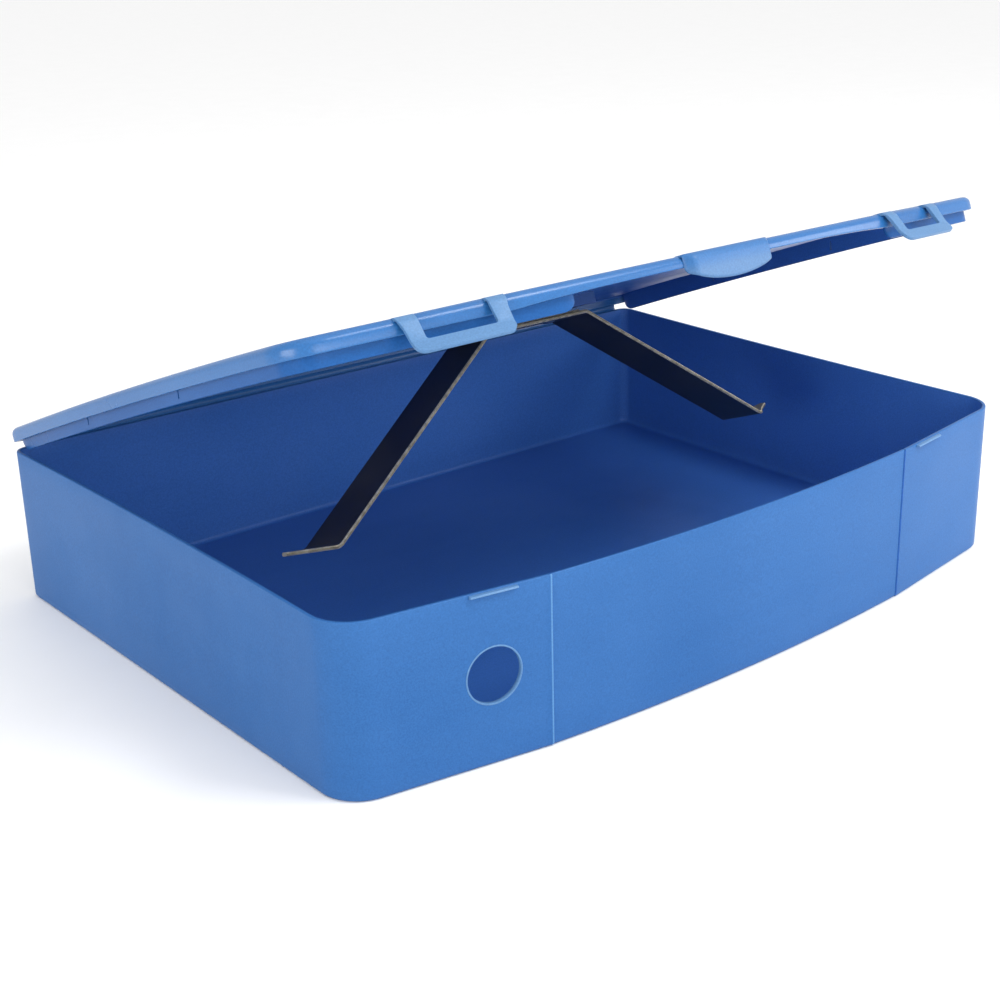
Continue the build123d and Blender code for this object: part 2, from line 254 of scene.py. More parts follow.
def plastic(name, dark, light, rough=(0.34, 0.5), grain=0.35, grain_scale=1500.0, streak=0.25, spec=0.5, coat=0.0, sss=0.0):
    """Moulded polypropylene: fine spark-eroded grain, faint flow streaks, handling marks."""
    mat = bpy.data.materials.new(name)
    nt, b = nodes_of(mat)
    N, L = nt.nodes, nt.links
    tc = N.new("ShaderNodeTexCoord")
    # broad tone drift
    n1 = N.new("ShaderNodeTexNoise"); n1.inputs["Scale"].default_value = 9.0; n1.inputs["Detail"].default_value = 3.0
    L.new(tc.outputs["Object"], n1.inputs["Vector"])
    # fine grain
    n2 = N.new("ShaderNodeTexNoise"); n2.inputs["Scale"].default_value = grain_scale; n2.inputs["Detail"].default_value = 2.0
    n2.inputs["Roughness"].default_value = 0.6
    L.new(tc.outputs["Object"], n2.inputs["Vector"])
    # flow streaks, stretched along x
    mp = N.new("ShaderNodeMapping"); mp.inputs["Scale"].default_value = (6.0, 60.0, 60.0)
    L.new(tc.outputs["Object"], mp.inputs["Vector"])
    n3 = N.new("ShaderNodeTexNoise"); n3.inputs["Scale"].default_value = 1.6; n3.inputs["Detail"].default_value = 4.0
    L.new(mp.outputs["Vector"], n3.inputs["Vector"])
    mixf = N.new("ShaderNodeMath"); mixf.operation = "MULTIPLY_ADD"
    L.new(n3.outputs["Fac"], mixf.inputs[0]); mixf.inputs[1].default_value = streak
    L.new(n1.outputs["Fac"], mixf.inputs[2])
    ramp = N.new("ShaderNodeValToRGB")
    ramp.color_ramp.elements[0].position = 0.42; ramp.color_ramp.elements[0].color = (*dark, 1)
    ramp.color_ramp.elements[1].position = 0.82; ramp.color_ramp.elements[1].color = (*light, 1)
    L.new(mixf.outputs[0], ramp.inputs["Fac"])
    # specks: mottled grain in the colour
    g = N.new("ShaderNodeMapRange"); g.inputs["From Min"].default_value = 0.3; g.inputs["From Max"].default_value = 0.7
    g.inputs["To Min"].default_value = 0.88; g.inputs["To Max"].default_value = 1.10
    L.new(n2.outputs["Fac"], g.inputs["Value"])
    mul = N.new("ShaderNodeMixRGB"); mul.blend_type = "MULTIPLY"; mul.inputs["Fac"].default_value = 1.0
    L.new(ramp.outputs["Color"], mul.inputs["Color1"]); L.new(g.outputs["Result"], mul.inputs["Color2"])
    L.new(mul.outputs["Color"], b.inputs["Base Color"])
    # roughness: rubbed patches are shinier
    n4 = N.new("ShaderNodeTexNoise"); n4.inputs["Scale"].default_value = 22.0; n4.inputs["Detail"].default_value = 6.0
    L.new(tc.outputs["Object"], n4.inputs["Vector"])
    rr = N.new("ShaderNodeMapRange"); rr.inputs["From Min"].default_value = 0.3; rr.inputs["From Max"].default_value = 0.7
    rr.inputs["To Min"].default_value = rough[0]; rr.inputs["To Max"].default_value = rough[1]
    L.new(n4.outputs["Fac"], rr.inputs["Value"]); L.new(rr.outputs["Result"], b.inputs["Roughness"])
    # bump: grain plus slow waviness of a thin moulding
    bu = N.new("ShaderNodeBump"); bu.inputs["Strength"].default_value = grain; bu.inputs["Distance"].default_value = 0.00012
    L.new(n2.outputs["Fac"], bu.inputs["Height"])
    n5 = N.new("ShaderNodeTexNoise"); n5.inputs["Scale"].default_value = 14.0; n5.inputs["Detail"].default_value = 1.0
    L.new(tc.outputs["Object"], n5.inputs["Vector"])
    bu2 = N.new("ShaderNodeBump"); bu2.inputs["Strength"].default_value = 0.12; bu2.inputs["Distance"].default_value = 0.004
    L.new(n5.outputs["Fac"], bu2.inputs["Height"]); L.new(bu.outputs["Normal"], bu2.inputs["Normal"])
    L.new(bu2.outputs["Normal"], b.inputs["Normal"])
    b.inputs["Specular IOR Level"].default_value = spec
    b.inputs["IOR"].default_value = 1.49
    if coat:
        b.inputs["Coat Weight"].default_value = coat
        b.inputs["Coat Roughness"].default_value = 0.18
    if sss:
        b.inputs["Subsurface Weight"].default_value = sss
        b.inputs["Subsurface Radius"].default_value = (0.001, 0.003, 0.008)
    return mat


def steel_strip(name):
    """Black stoved strip: oil-dark with a faint blue cast, fine rolling lines, small rubs."""
    mat = bpy.data.materials.new(name)
    nt, b = nodes_of(mat)
    N, L = nt.nodes, nt.links
    tc = N.new("ShaderNodeTexCoord")
    n1 = N.new("ShaderNodeTexNoise"); n1.inputs["Scale"].default_value = 45.0; n1.inputs["Detail"].default_value = 6.0
    L.new(tc.outputs["Object"], n1.inputs["Vector"])
    ramp = N.new("ShaderNodeValToRGB")
    ramp.color_ramp.elements[0].position = 0.38; ramp.color_ramp.elements[0].color = (0.010, 0.010, 0.014, 1)
    ramp.color_ramp.elements[1].position = 0.72; ramp.color_ramp.elements[1].color = (0.024, 0.024, 0.026, 1)
    L.new(n1.outputs["Fac"], ramp.inputs["Fac"]); L.new(ramp.outputs["Color"], b.inputs["Base Color"])
    mp = N.new("ShaderNodeMapping"); mp.inputs["Scale"].default_value = (40.0, 900.0, 900.0)
    L.new(tc.outputs["Object"], mp.inputs["Vector"])
    n2 = N.new("ShaderNodeTexNoise"); n2.inputs["Scale"].default_value = 1.0; n2.inputs["Detail"].default_value = 3.0
    L.new(mp.outputs["Vector"], n2.inputs["Vector"])
    bu = N.new("ShaderNodeBump"); bu.inputs["Strength"].default_value = 0.25; bu.inputs["Distance"].default_value = 0.00008
    L.new(n2.outputs["Fac"], bu.inputs["Height"]); L.new(bu.outputs["Normal"], b.inputs["Normal"])
    rr = N.new("ShaderNodeMapRange"); rr.inputs["To Min"].default_value = 0.3; rr.inputs["To Max"].default_value = 0.52
    L.new(n1.outputs["Fac"], rr.inputs["Value"]); L.new(rr.outputs["Result"], b.inputs["Roughness"])
    b.inputs["Metallic"].default_value = 0.08
    return mat


def worn_edge(name, k=1.0):
    """Slit edges of the strip, where the finish has gone to straw-coloured steel."""
    mat = bpy.data.materials.new(name)
    nt, b = nodes_of(mat)
    N, L = nt.nodes, nt.links
    tc = N.new("ShaderNodeTexCoord")
    n1 = N.new("ShaderNodeTexNoise"); n1.inputs["Scale"].default_value = 420.0; n1.inputs["Detail"].default_value = 8.0
    L.new(tc.outputs["Object"], n1.inputs["Vector"])
    ramp = N.new("ShaderNodeValToRGB")
    ramp.color_ramp.elements[0].position = 0.36; ramp.color_ramp.elements[0].color = (0.42 * k, 0.37 * k, 0.26 * k, 1)
    ramp.color_ramp.elements[1].position = 0.66; ramp.color_ramp.elements[1].color = (0.78 * k, 0.70 * k, 0.50 * k, 1)
    L.new(n1.outputs["Fac"], ramp.inputs["Fac"]); L.new(ramp.outputs["Color"], b.inputs["Base Color"])
    bu = N.new("ShaderNodeBump"); bu.inputs["Strength"].default_value = 0.3; bu.inputs["Distance"].default_value = 0.0001
    L.new(n1.outputs["Fac"], bu.inputs["Height"]); L.new(bu.outputs["Normal"], b.inputs["Normal"])
    b.inputs["Metallic"].default_value = 0.75
    b.inputs["Roughness"].default_value = 0.42
    return mat


def rivet_metal(name):
    mat = bpy.data.materials.new(name)
    nt, b = nodes_of(mat)
    N, L = nt.nodes, nt.links
    tc = N.new("ShaderNodeTexCoord")
    n1 = N.new("ShaderNodeTexNoise"); n1.inputs["Scale"].default_value = 700.0; n1.inputs["Detail"].default_value = 5.0
    L.new(tc.outputs["Object"], n1.inputs["Vector"])
    ramp = N.new("ShaderNodeValToRGB")
    ramp.color_ramp.elements[0].color = (0.20, 0.20, 0.21, 1); ramp.color_ramp.elements[1].color = (0.55, 0.55, 0.56, 1)
    L.new(n1.outputs["Fac"], ramp.inputs["Fac"]); L.new(ramp.outputs["Color"], b.inputs["Base Color"])
    bu = N.new("ShaderNodeBump"); bu.inputs["Strength"].default_value = 0.2; bu.inputs["Distance"].default_value = 0.00005
    L.new(n1.outputs["Fac"], bu.inputs["Height"]); L.new(bu.outputs["Normal"], b.inputs["Normal"])
    b.inputs["Metallic"].default_value = 1.0
    b.inputs["Roughness"].default_value = 0.35
    return mat


M_TRAY = plastic("tray_polypropylene", (0.025, 0.110, 0.316), (0.038, 0.137, 0.366), rough=(0.34, 0.46), grain=0.3, spec=0.14)
# the inside plastic is painted paler than the outside: painted bounce light inside the tray, under the lid and on the
# skirts' inner faces
M_INSIDE_PAINTED_BOUNCE = plastic("inside_polypropylene_painted_bounce", (0.038, 0.140, 0.450), (0.051, 0.163, 0.500), rough=(0.28, 0.42), grain=0.15, spec=0.3)
M_LID = plastic("lid_polypropylene", (0.020, 0.120, 0.340), (0.030, 0.145, 0.385), rough=(0.20, 0.28), grain=0.10, spec=0.45)
# the skirt plastic is a darker copy of the lid plastic: painted shade in the recess under the lip
M_SKIRT_PAINTED_SHADE = plastic("skirt_polypropylene_painted_shade", (0.013, 0.088, 0.290), (0.019, 0.106, 0.330), rough=(0.26, 0.36), grain=0.10, spec=0.14)
M_SEAT = plastic("seat_polypropylene", (0.014, 0.055, 0.200), (0.020, 0.068, 0.240), rough=(0.34, 0.44), grain=0.15, spec=0.15)
# the seam bead's paler plastic is a painted highlight: the light line down the edge of the left wrap wall
M_SEAM_PAINTED_HIGHLIGHT = plastic("seam_bead_painted_highlight", (0.060, 0.200, 0.440), (0.085, 0.235, 0.480), rough=(0.3, 0.4), grain=0.2, spec=0.4)
M_LATCH = plastic("latch_polypropylene", (0.075, 0.190, 0.380), (0.100, 0.225, 0.430), rough=(0.36, 0.48), grain=0.25, streak=0.4, spec=0.4)
M_TAB = plastic("tab_polypropylene", (0.058, 0.158, 0.335), (0.080, 0.188, 0.380), rough=(0.30, 0.42), grain=0.25, streak=0.4, spec=0.4)


def thin_edge(mat, th, low, high, dark):
    """The ear thins towards its free edge and looks paler there; th is the lid's swing in radians."""
    nt = mat.node_tree
    N, L = nt.nodes, nt.links
    b = next(n for n in N if n.type == "BSDF_PRINCIPLED")
    src = b.inputs["Base Color"].links[0].from_socket
    tc = N.new("ShaderNodeTexCoord")
    dot = N.new("ShaderNodeVectorMath"); dot.operation = "DOT_PRODUCT"
    dot.inputs[1].default_value = (0.0, math.sin(th), math.cos(th))
    L.new(tc.outputs["Object"], dot.inputs[0])
    base = (YB * math.sin(th) + TRAY_H * math.cos(th)) / 1000
    mr = N.new("ShaderNodeMapRange"); mr.interpolation_type = "SMOOTHSTEP"
    mr.inputs["From Min"].default_value = base + low / 1000; mr.inputs["From Max"].default_value = base + high / 1000
    mr.inputs["To Min"].default_value = 1.0; mr.inputs["To Max"].default_value = 0.0
    L.new(dot.outputs["Value"], mr.inputs["Value"])
    mx = N.new("ShaderNodeMixRGB"); mx.blend_type = "MIX"
    mul = N.new("ShaderNodeMixRGB"); mul.blend_type = "MULTIPLY"; mul.inputs["Fac"].default_value = 1.0
    mul.inputs["Color2"].default_value = (*dark, 1)
    L.new(src, mul.inputs["Color1"])
    L.new(mr.outputs["Result"], mx.inputs["Fac"]); L.new(mul.outputs["Color"], mx.inputs["Color1"]); L.new(src, mx.inputs["Color2"])
    L.new(mx.outputs["Color"], b.inputs["Base Color"])


thin_edge(M_TAB, math.radians(20.0), 1.0, 5.5, (0.45, 0.80, 1.0))
M_STEEL = steel_strip("black_spring_steel")
M_EDGE = worn_edge("worn_strip_edge")
M_CORE = worn_edge("strip_edge_core", 0.22)
M_RIVET = rivet_metal("rivet_steel")

# ---- camera: the viewing angle of the photographed pose ---------------------------------------
CAM_POS = (-0.442652, -0.530459, 0.294897)
CAM_RIGHT = Vector((0.760964, -0.648614, -0.015261))
CAM_UP = Vector((0.242891, 0.262995, 0.933722))
CAM_BACK = Vector((-0.601612, -0.714236, 0.357672))
cam_data = bpy.data.cameras.new("camera")
cam_data.sensor_width = 36.0
cam_data.lens = 1.6612 * 36.0
cam_data.shift_x = -0.03954
cam_data.shift_y = 0.00918
cam = bpy.data.objects.new("camera", cam_data)
bpy.context.scene.collection.objects.link(cam)
cam.matrix_world = Matrix((
    (CAM_RIGHT.x, CAM_UP.x, CAM_BACK.x, CAM_POS[0]),
    (CAM_RIGHT.y, CAM_UP.y, CAM_BACK.y, CAM_POS[1]),
    (CAM_RIGHT.z, CAM_UP.z, CAM_BACK.z, CAM_POS[2]),
    (0, 0, 0, 1)))
bpy.context.scene.camera = cam

# ---- tray shell --------------------------------------------------------------------------------
OL = outline()
BOW = 1.6


def tray_shape(v, p, nrm, k):
    """The free rims of the end walls bow in a little towards their middles."""
    if abs(p.x) > HX - 1.0:
        s = (YB - R_BACK - p.y) / (YB - R_BACK - (YC + R_FRONT))
        if 0 < s < 1:
            v.x -= math.copysign(BOW * 4 * s * (1 - s) * max(0.0, v.z / TRAY_H) ** 1.6, p.x)
    return v


def tray_profile():
    pr = []          # (inset, z, outer?)
    rb = 1.6
    for i in range(5):                       # rounded base edge
        a = math.radians(90 * i / 4)
        pr.append((rb - rb * math.sin(a), rb - rb * math.cos(a), True))
    for z in (6, 14, 22, 30, 38, 46, 54, 61):
        pr.append((0.0, float(z), True))
    rr = 0.55
    for i in range(4):
        a = math.radians(90 * i / 3)
        pr.append((rr - rr * math.cos(a), TRAY_H - rr + rr * math.sin(a), True))
    for i in range(4):
        a = math.radians(90 * i / 3)
        pr.append((WALL - rr + rr * math.sin(a), TRAY_H - rr + rr * math.cos(a), False))
    for z in (61, 54, 46, 38, 30, 22, 14, 7):
        pr.append((WALL, float(z), False))
    ri = 2.2
    for i in range(5):
        a = math.radians(90 * i / 4)
        pr.append((WALL + ri - ri * math.cos(a), FLOOR + ri - ri * math.sin(a), False))
    return pr


pr = tray_profile()
bm = bmesh.new()
rings = []
for e, z, outer in pr:
    ring = []
    for p, nrm in OL:
        ee = e + (seam_depth(p) if outer else 0.0)
        q = p - nrm * ee
        ring.append(bm.verts.new(tray_shape(Vector((q.x, q.y, z)), p, nrm, 0)))
    rings.append(ring)
n = len(OL)
for k in range(len(rings) - 1):
    for i in range(n):
        bm.faces.new((rings[k][i], rings[k][(i + 1) % n], rings[k + 1][(i + 1) % n], rings[k + 1][i]))
bm.faces.new(rings[0])
bm.faces.new(rings[-1])
tray = finish_mesh("tray_shell", bm, smooth=28.0, mat=[M_TRAY, M_INSIDE_PAINTED_BOUNCE, M_SEAM_PAINTED_HIGHLIGHT])

# finger hole: a clean bore through the left front panel
hb = bmesh.new()
bmesh.ops.create_cone(hb, cap_ends=True, segments=96, radius1=HOLE_D / 2, radius2=HOLE_D / 2, depth=16,
                      matrix=on_left(HOLE_S, HOLE_Z) @ Matrix.Rotation(math.radians(90), 4, "X"))
cutter = finish_mesh("cutter", hb)
mod = tray.modifiers.new("bore", "BOOLEAN")
mod.operation = "DIFFERENCE"
mod.solver = "EXACT"
mod.object = cutter
apply_modifiers(tray, smooth=28.0)
bpy.data.objects.remove(cutter)

# inside faces take the smoother inside finish, whose paler colour is painted bounce light
me = tray.data
for p in me.polygons:
    c, nn = p.center / MM, p.normal
    inside = (abs(c.x) < HX - WALL + 0.25 and c.y < YB - WALL + 0.25 and c.z > FLOOR - 0.2 and c.z < TRAY_H - 0.8)
    if inside:
        # outward faces of the front are beyond the inner outline
        front = YC + 4 if abs(c.x) > SEAM_X else YS
        outward = (nn.y < -0.5 and c.y < -100) or (abs(nn.x) > 0.5 and nn.x * c.x > 0 and abs(c.x) > HX - 20)
        if not outward:
            p.material_index = 1
    # the bead's outward faces at the left seam take the paler plastic, a painted highlight
    if -98.6 < c.x < -97.82 and c.y < -125.0 and nn.y < -0.2:
        p.material_index = 2
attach(tray, "tray")
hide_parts("floor_panel", "back_wall", "left_wrap_wall", "right_wrap_wall", "spine_panel")

# rolled lip round the finger hole
bm = bmesh.new()
seg, prof = 96, [(0.0, -0.1), (0.0, WALL), (0.12, WALL + 0.12), (0.5, WALL + 0.12), (0.62, WALL - 0.05), (0.62, 0.2),
                 (0.62, 0.0), (0.5, -0.12), (0.14, -0.2)]
loops = []
for i in range(seg):
    a = 2 * math.pi * i / seg
    loops.append([bm.verts.new(((HOLE_D / 2 - 0.25 + dr) * math.cos(a), dy, (HOLE_D / 2 - 0.25 + dr) * math.sin(a))) for dr, dy in prof])
for i in range(seg):
    a, b = loops[i], loops[(i + 1) % seg]
    for k in range(len(prof)):
        bm.faces.new((a[k], a[(k + 1) % len(prof)], b[(k + 1) % len(prof)], b[k]))
hole_rim = finish_mesh("finger_hole_rim", bm, on_left(HOLE_S, HOLE_Z), smooth=60, mat=M_LATCH)
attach(hole_rim, "tray")

# catches: wedges with rounded noses
for side, place, along, node in (("left", on_left, CATCH_S, "left_catch"), ("right", on_right, CATCH_S_RIGHT, "right_catch")):
    bm = bmesh.new()
    prof = [(0.25, -0.4), (-1.2, -0.5), (-1.7, -1.1), (-0.4, -1.6), (0.25, -1.7)]
    ends = []
    for x in (-CATCH_W / 2, CATCH_W / 2):
        ends.append([bm.verts.new((x, y, z)) for y, z in prof])
    for k in range(len(prof)):
        bm.faces.new((ends[0][k], ends[0][(k + 1) % 5], ends[1][(k + 1) % 5], ends[1][k]))
    bm.faces.new(ends[0]); bm.faces.new(list(reversed(ends[1])))
    bmesh.ops.recalc_face_normals(bm, faces=bm.faces)
    sharp = [e for e in bm.edges if len(e.link_faces) == 2 and e.calc_face_angle(0) > math.radians(25)
             and not all(v.co.y > 0.2 for v in e.verts)]
    bmesh.ops.bevel(bm, geom=sharp, offset=0.2, segments=3, profile=0.5, affect="EDGES")
    ob = finish_mesh(f"{side}_catch_wedge", bm, place(along, TRAY_H), smooth=40, mat=M_LATCH)
    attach(ob, "tray"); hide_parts(node)

# ---- lid ------------------------------------------------------------------------------------------
bm = bmesh.new()
R_TOP = 3.0
prof = []
prof.append((LIP_W, PANEL_LOW - 1.0))
prof.append((LIP_W, LIP_LOW + 0.5))
for i in range(4):
    a = math.radians(90 * i / 3)
    prof.append((LIP_W - 0.5 + 0.5 * math.cos(a), LIP_LOW + 0.5 - 0.5 * math.sin(a)))
for i in range(4):
    a = math.radians(90 * i / 3)
    prof.append((0.45 - 0.45 * math.sin(a), LIP_LOW + 0.45 - 0.45 * math.cos(a)))
prof.append((0.0, 4.2))
for i in range(9):
    a = math.radians(90 * i / 8)
    prof.append((R_TOP - R_TOP * math.cos(a), LIP_TOP - R_TOP + R_TOP * math.sin(a)))
prof.append((6.0, LIP_TOP)); prof.append((12.0, LIP_TOP))
seen, clean = None, []
for q in prof:
    if seen is None or (abs(q[0] - seen[0]) + abs(q[1] - seen[1])) > 1e-4:
        clean.append(q)
    seen = q


def smooth01(t):
    t = min(1.0, max(0.0, t))
    return t * t * (3 - 2 * t)


def rise(y, inset):
    """The lid's side rims crown a little between the hinge and the front."""
    t = min(1.0, max(0.0, (YB - y) / DEPTH))
    return RIM_RISE * 4 * t * (1 - t) * min(1.0, max(0.0, (12.0 - inset) / 8.5))


def scoop(p, z):
    """The lip is a little narrower along the bowed spine."""
    if p.y > YS + 1 or abs(p.x) > SEAM_X:
        return 0.0
    return 1.5 * (1 - (p.x / SEAM_X) ** 4) * min(1.0, max(0.0, (4.9 - z) / 2.0))


def lid_ring(bm, inset, z0):
    ring = []
    for p, nrm in OL:
        z = z0 + scoop(p, z0)
        q = p - nrm * inset
        qx = max(-(HX - inset), min(HX - inset, q.x))       # tight back corners close to a point, never cross over
        qy = min(q.y, YB - max(inset, HINGE_GAP))
        ring.append(bm.verts.new((qx, qy, TRAY_H + z + rise(qy, inset))))
    return ring


def bridge(bm, r0, r1, index=0):
    for i in range(len(r0)):
        f = bm.faces.new((r0[i], r0[(i + 1) % len(r0)], r1[(i + 1) % len(r0)], r1[i]))
        f.material_index = index


def close_panel(bm, ring, z_flat, index=0):
    """Fill the panel inside a ring with shrinking rings, so the crown runs out into a flat sheet."""
    mid = (YA + YB) / 2
    start = [v.co.copy() for v in ring]
    n = len(start)
    for i, v in enumerate(ring):                            # the close points beside each seam are evened out
        if abs(abs(v.co.x) - SEAM_X) < 9.0 and v.co.y < YS + 16.0:
            near = [ring[(i + j) % n].co for j in range(-4, 5)]
            start[i] = sum(near, Vector((0, 0, 0))) / len(near)
    last = ring
    for k in (0.965, 0.93, 0.89, 0.84, 0.7, 0.5, 0.3, 0.1):
        w = smooth01((k - 0.84) / 0.16)
        new = [bm.verts.new((c.x * k, mid + (c.y - mid) * k, TRAY_H + z_flat + (c.z - TRAY_H - z_flat) * w)) for c in start]
        bridge(bm, last, new, index)
        last = new
    f = bm.faces.new(last)
    f.material_index = index


rings = [lid_ring(bm, e, z) for e, z in clean]
for r0, r1 in zip(rings, rings[1:]):
    bridge(bm, r0, r1)
close_panel(bm, rings[-1], LIP_TOP)
# underside: coved where it meets the lip
ur = [lid_ring(bm, e, z) for e, z in ((LIP_W + 0.3, PANEL_LOW - 0.45), (LIP_W + 0.9, PANEL_LOW - 0.1), (LIP_W + 1.6, PANEL_LOW))]
# the lid's underside takes the inside plastic, painted paler as bounce light
bridge(bm, rings[0], ur[0], 1)
for r0, r1 in zip(ur, ur[1:]):
    bridge(bm, r0, r1, 1)
close_panel(bm, ur[-1], PANEL_LOW, 1)
bmesh.ops.remove_doubles(bm, verts=bm.verts[:], dist=0.002)
lid = finish_mesh("lid_shell", bm, SWING, smooth=30.0, mat=[M_LID, M_INSIDE_PAINTED_BOUNCE])
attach(lid, "lid"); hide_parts("lid_panel", "lid_lip")


def skirt_piece(name, node, sgn):
    """The inner flange under the lid: along the side, round the front corner, ending on the front."""
    if sgn < 0:
        pts = [(p, nrm) for p, nrm in OL if p.y < YB - 5.9 and p.x < -68.0 and (p.x < -HX + 1 or p.y < YC + R_FRONT + 1)]
    else:
        pts = [(p, nrm) for p, nrm in OL if p.y < YB - 5.9 and p.x > 100.0 and (p.x > HX - 1 or p.y < YC + R_FRONT + 1)]
        pts.reverse()
    # even spacing, with a few slits cut up from the lower edge
    s_at = [0.0]
    for (u, _), (w, _) in zip(pts, pts[1:]):
        s_at.append(s_at[-1] + (w - u).length)
    total = s_at[-1]
    ends = 5.0
    wanted = sorted(set([round(total * i / 170, 3) for i in range(171)]
                        + [round(ends * (1 - math.cos(math.pi / 2 * i / 8)), 3) for i in range(9)]
                        + [round(total - ends * (1 - math.cos(math.pi / 2 * i / 8)), 3) for i in range(9)]))
    path = []
    k = 0
    for d in wanted:
        while k < len(s_at) - 2 and s_at[k + 1] < d:
            k += 1
        t = min(1.0, max(0.0, (d - s_at[k]) / max(1e-6, s_at[k + 1] - s_at[k])))
        path.append((pts[k][0].lerp(pts[k + 1][0], t), pts[k][1].lerp(pts[k + 1][1], t).normalized(), d))
    bm = bmesh.new()
    rr = 0.35
    prev = None
    for p, nrm, d in path:
        e = min(d, total - d)
        lift = ends * 0.7 * (1 - math.sqrt(max(0.0, 1 - (1 - e / ends) ** 2))) if e < ends else 0.0
        low = SKIRT_LOW + lift
        cs = [(SKIRT_IN, PANEL_LOW + 0.4), (SKIRT_IN, low + rr), (SKIRT_IN + rr * 0.3, low + rr * 0.3), (SKIRT_IN + rr, low),
              (SKIRT_IN + SKIRT_T - rr, low), (SKIRT_IN + SKIRT_T - rr * 0.3, low + rr * 0.3), (SKIRT_IN + SKIRT_T, low + rr),
              (SKIRT_IN + SKIRT_T, PANEL_LOW + 0.4)]
        col = []
        for inset, z in cs:
            q = p - nrm * inset
            col.append(bm.verts.new((q.x, q.y, TRAY_H + z + rise(q.y, inset))))
        if prev:
            for k2 in range(len(cs)):
                f = bm.faces.new((prev[k2], prev[(k2 + 1) % len(cs)], col[(k2 + 1) % len(cs)], col[k2]))
                # the skirt's two inner faces take the inside plastic, painted paler as bounce light
                f.material_index = 1 if k2 in (6, 7) else 0
        else:
            bm.faces.new(col)
        prev = col
    bm.faces.new(list(reversed(prev)))
    # the skirt's outer faces take the darker skirt plastic, painted shade under the lip
    ob = finish_mesh(name, bm, SWING, smooth=40, mat=[M_SKIRT_PAINTED_SHADE, M_INSIDE_PAINTED_BOUNCE])
    # two narrow slits near the lip, left by the mould's pins
    for y in (54.0, -28.0):
        sb = bmesh.new()
        bmesh.ops.create_cube(sb, size=1.0, matrix=Matrix.Translation((sgn * (HX - SKIRT_IN - 0.6), y, TRAY_H + 1.6 + RIM_RISE)) @ Matrix.Rotation(math.radians(14), 4, "X") @ Matrix.Diagonal((4.0, 0.7, 4.4, 1.0)))
        cut = finish_mesh("slit_cutter", sb, SWING)
        md = ob.modifiers.new("slit", "BOOLEAN")
        md.operation = "DIFFERENCE"
        md.solver = "EXACT"
        md.object = cut
        apply_modifiers(ob, smooth=40)
        bpy.data.objects.remove(cut)
    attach(ob, "lid"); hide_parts(node)
    return ob


skirt_piece("left_skirt", "lid_skirt_left", -1)
skirt_piece("right_skirt", "lid_skirt_right", 1)

# ---- thumb tab: a dished ear that flows out of the lid's top edge ----------------------------------------
def bend_path(points, radii, n=9):
    """Polyline (y, z) with filleted corners, as a function of the distance along it."""
    pl = [Vector(points[0])]
    for i in range(1, len(points) - 1):
        pl += fillet(points[i - 1], points[i], points[i + 1], radii[i - 1], n)
    pl.append(Vector(points[-1]))
    acc = [0.0]
    for u, w in zip(pl, pl[1:]):
        acc.append(acc[-1] + (w - u).length)

    def at(d):
        d = min(max(d, 0.0), acc[-1])
        k = 0
        while k < len(acc) - 2 and acc[k + 1] < d:
            k += 1
        t = (d - acc[k]) / max(1e-9, acc[k + 1] - acc[k])
        # direction is smoothed across the joints between pieces
        t0 = (pl[k + 1] - pl[k]).normalized()
        tp = (pl[k] - pl[k - 1]).normalized() if k > 0 else t0
        tn = (pl[k + 2] - pl[k + 1]).normalized() if k + 2 < len(pl) else t0
        ta, tb = (tp + t0).normalized(), (t0 + tn).normalized()
        return pl[k].lerp(pl[k + 1], t), ta.lerp(tb, t).normalized()
    return at, acc


tab_at, tab_acc = bend_path([(4.5, LIP_TOP - 0.32), (-2.35, LIP_TOP - 0.32), (-3.1, TAB_LOW)], [2.4])
tab_len = tab_acc[-1]
bm = bmesh.new()
NX, NS = 56, 30
front, back = [], []
for j in range(NS + 1):
    fr, bk = [], []
    for i in range(NX + 1):
        u = -1 + 2 * i / NX
        full = tab_len - (tab_len - 10.6) * (1 - math.sqrt(max(0.0, 1 - abs(u) ** 1.9)))
        d = full * j / NS
        (y, z), tdir = tab_at(d)
        side = smooth01((1 - abs(u)) / 0.16)
        pull = (1 - side) * max(0.0, (-y + 0.2)) * 0.96          # the ends curve back into the lip
        rim = min(1.0, (1 - abs(u)) * 22, (NS - j) / NS * full / 0.9)
        th = TAB_T / 2 * math.sqrt(max(0.05, 1 - (1 - max(0.0, rim)) ** 2))
        nn = Vector((tdir.y, -tdir.x)) * (-1 if tdir.y * -1 < 0 and False else 1)
        x = u * TAB_W / 2
        dish = 0.5 * (1 - u * u) * smooth01((d - 7) / 6)
        c = Vector((y + pull + dish * 0.4, z))
        fr.append(bm.verts.new((x, YA + c.x + nn.x * th, TRAY_H + c.y + nn.y * th)))
        bk.append(bm.verts.new((x, YA + c.x - nn.x * th, TRAY_H + c.y - nn.y * th)))
    front.append(fr); back.append(bk)
for j in range(NS):
    for i in range(NX):
        bm.faces.new((front[j][i], front[j][i + 1], front[j + 1][i + 1], front[j + 1][i]))
        bm.faces.new((back[j][i], back[j + 1][i], back[j + 1][i + 1], back[j][i + 1]))
for i in range(NX):
    bm.faces.new((front[0][i], back[0][i], back[0][i + 1], front[0][i + 1]))
    bm.faces.new((front[NS][i], front[NS][i + 1], back[NS][i + 1], back[NS][i]))
for j in range(NS):
    bm.faces.new((front[j][0], front[j + 1][0], back[j + 1][0], back[j][0]))
    bm.faces.new((front[j][NX], back[j][NX], back[j + 1][NX], front[j + 1][NX]))
tab = finish_mesh("thumb_tab_ear", bm, SWING, smooth=60, mat=M_TAB)
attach(tab, "lid"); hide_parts("thumb_tab")


# ---- latch loops -----------------------------------------------------------------------------------------
def rounded(points, radii, n=5):
    out = []
    m = len(points)
    for i, (p, r) in enumerate(zip(points, radii)):
        if r <= 0:
            out.append(tuple(p))
            continue
        f = fillet(points[i - 1], p, points[(i + 1) % m], r, n)
        out += [(q.x, q.y) for q in f]
    return out


h = LATCH_W / 2
